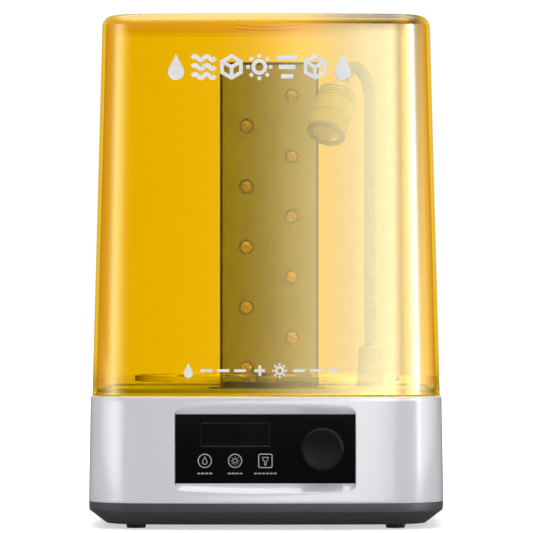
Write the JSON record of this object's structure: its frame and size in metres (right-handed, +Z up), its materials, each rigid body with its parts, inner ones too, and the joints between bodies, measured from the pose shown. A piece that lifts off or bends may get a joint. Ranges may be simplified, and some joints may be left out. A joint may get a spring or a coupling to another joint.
{
  "type": "wash and cure station for resin prints",
  "caption": "Curing station for resin prints: white base with knob panel, amber light-filter cover, geared turntable, ultraviolet LED column and gooseneck lamp.",
  "frame": {"origin": "on the table, under the middle of the overall bounding box", "axes": "+Z up, -Y towards the user (control panel side), +X to the user's right"},
  "size_m": [0.239, 0.226, 0.34],
  "materials": {
    "amber_cover": "transparent, glossy",
    "white_shell": "satin",
    "dark_shell": "satin",
    "deck_grey": "satin",
    "foot_rubber": "matt",
    "panel_black": "high gloss",
    "smoked_window": "high gloss, tinted",
    "segment_grey": "matt",
    "milky_plastic": "translucent",
    "circuit_green": "solder mask",
    "circuit_white": "solder mask",
    "module_black": "moulded",
    "knob_black": "high gloss",
    "zinc_steel": "plated",
    "bright_steel": "ground",
    "magnet_nickel": "nickel plated",
    "acetal_white": "machined",
    "drive_grey": "moulded",
    "clear_disc": "transparent",
    "column_black": "powder coated",
    "column_grey": "powder coated",
    "emitter_orange": "phosphor",
    "clear_lens": "transparent dome",
    "bare_aluminium": "extruded",
    "neck_metal": "wound strip",
    "lamp_metal": "anodised",
    "reflector_chrome": "polished",
    "rocker_black": "gloss",
    "cable_sleeve": "matt"
  },
  "bodies": {
    "base": {"casing": "white_shell", "bottom_tray": "dark_shell", "feet": "foot_rubber", "deck_plate": "deck_grey", "cover_sensor": "circuit_green", "front_panel": "panel_black", "display_window": "smoked_window", "display_module": "module_black", "display_segments": "segment_grey", "icon_light_guides": "milky_plastic", "control_board": "circuit_green", "encoder_body": "zinc_steel", "motor_can": "zinc_steel", "motor_bracket": "zinc_steel", "column_channel": "column_black", "column_front": "column_grey", "led_board": "circuit_white", "led_emitters": "emitter_orange", "led_lenses": "clear_lens", "column_heat_sink": "bare_aluminium", "lamp_socket": "column_grey", "main_board": "circuit_green", "board_components": "module_black", "dc_jack": "module_black", "power_switch": "rocker_black", "wiring": "cable_sleeve", "case_screws": "zinc_steel", "machine_screws": "zinc_steel", "board_screws": "zinc_steel"},
    "cover": {"cover": "amber_cover", "cover_magnet": "magnet_nickel"},
    "knob_button": {"encoder_plunger": "acetal_white"},
    "knob": {"encoder_shaft": "bright_steel", "knob": "knob_black"},
    "rocker": {"switch_rocker": "rocker_black"},
    "rotor": {"motor_shaft": "bright_steel", "magnet_rotor": "acetal_white", "rotor_magnets": "magnet_nickel"},
    "drive": {"drive_base": "drive_grey", "centre_pin": "bright_steel", "planet_plate": "drive_grey", "bearing_inner_race": "bright_steel"},
    "turntable": {"turntable_hub": "drive_grey", "turntable_disc": "clear_disc", "hub_cap": "drive_grey", "bearing_outer_race": "bright_steel"},
    "carrier": {"magnet_carrier": "acetal_white", "carrier_magnets": "magnet_nickel"},
    "planet_1": {"planet_gear_1": "acetal_white"},
    "planet_2": {"planet_gear_2": "acetal_white"},
    "planet_3": {"planet_gear_3": "acetal_white"},
    "lamp_foot": {"lamp_plug": "column_black", "gooseneck_lower": "neck_metal"},
    "neck_middle": {"gooseneck_middle": "neck_metal"},
    "neck_upper": {"gooseneck_upper": "neck_metal"},
    "lamp_head": {"lamp_head": "lamp_metal", "lamp_bezel": "lamp_metal", "lamp_reflector": "reflector_chrome", "lamp_lens": "clear_lens", "lamp_emitter": "emitter_orange"}
  },
  "joints": [
    {"name": "cover_lift", "type": "slide", "parent": "base", "child": "cover", "axis": [0, 0, 1], "range_m": [0, 0.27]},
    {"name": "knob_press", "type": "slide", "parent": "base", "child": "knob_button", "axis": [0, 1, 0], "range_m": [0, 0.0005], "stiffness_N_per_m": 6000},
    {"name": "knob_turn", "type": "hinge", "parent": "knob_button", "child": "knob", "pos_m": [0.0376, -0.108, 0.0529], "axis": [0, 1, 0], "continuous": true},
    {"name": "power_rocker", "type": "hinge", "parent": "base", "child": "rocker", "pos_m": [0.034, 0.106, 0.046], "axis": [-1, 0, 0], "range_deg": [0, 16]},
    {"name": "turntable_lift", "type": "slide", "parent": "base", "child": "drive", "axis": [0, 0, 1], "range_m": [0, 0.03]},
    {"name": "turntable_spin", "type": "hinge", "parent": "drive", "child": "turntable", "pos_m": [0, -0.008, 0.098], "axis": [0, 0, 1], "continuous": true},
    {"name": "carrier_spin", "type": "hinge", "parent": "drive", "child": "carrier", "pos_m": [0, -0.008, 0.089], "axis": [0, 0, 1], "continuous": true},
    {"name": "planet_1_spin", "type": "hinge", "parent": "drive", "child": "planet_1", "pos_m": [0.0156, -0.008, 0.0938], "axis": [0, 0, 1], "continuous": true},
    {"name": "planet_2_spin", "type": "hinge", "parent": "drive", "child": "planet_2", "pos_m": [-0.0078, 0.00551, 0.0938], "axis": [0, 0, 1], "continuous": true},
    {"name": "planet_3_spin", "type": "hinge", "parent": "drive", "child": "planet_3", "pos_m": [-0.0078, -0.02151, 0.0938], "axis": [0, 0, 1], "continuous": true},
    {"name": "rotor_spin", "type": "hinge", "parent": "base", "child": "rotor", "pos_m": [0, -0.008, 0.075], "axis": [0, 0, 1], "continuous": true},
    {"name": "lamp_swivel", "type": "hinge", "parent": "base", "child": "lamp_foot", "pos_m": [0.071, 0.082, 0.1073], "axis": [0, 0, 1], "range_deg": [-30, 30]},
    {"name": "neck_sway", "type": "hinge", "parent": "lamp_foot", "child": "neck_middle", "pos_m": [0.071, 0.082, 0.15], "axis": [0, 1, 0], "range_deg": [-6, 6]},
    {"name": "neck_lean", "type": "hinge", "parent": "neck_middle", "child": "neck_upper", "pos_m": [0.071, 0.082, 0.225], "axis": [1, 0, 0], "range_deg": [0, 30]},
    {"name": "head_tilt", "type": "hinge", "parent": "neck_upper", "child": "lamp_head", "pos_m": [0.05121, 0.04282, 0.30342], "axis": [0.8926, -0.4509, 0], "range_deg": [-25, 25]}
  ],
  "couplings": [
    {"joint": "carrier_spin", "follows": "turntable_spin", "ratio": -3.3333},
    {"joint": "planet_1_spin", "follows": "turntable_spin", "ratio": 2.8571},
    {"joint": "planet_2_spin", "follows": "turntable_spin", "ratio": 2.8571},
    {"joint": "planet_3_spin", "follows": "turntable_spin", "ratio": 2.8571},
    {"joint": "rotor_spin", "follows": "turntable_spin", "ratio": -3.3333}
  ]
}
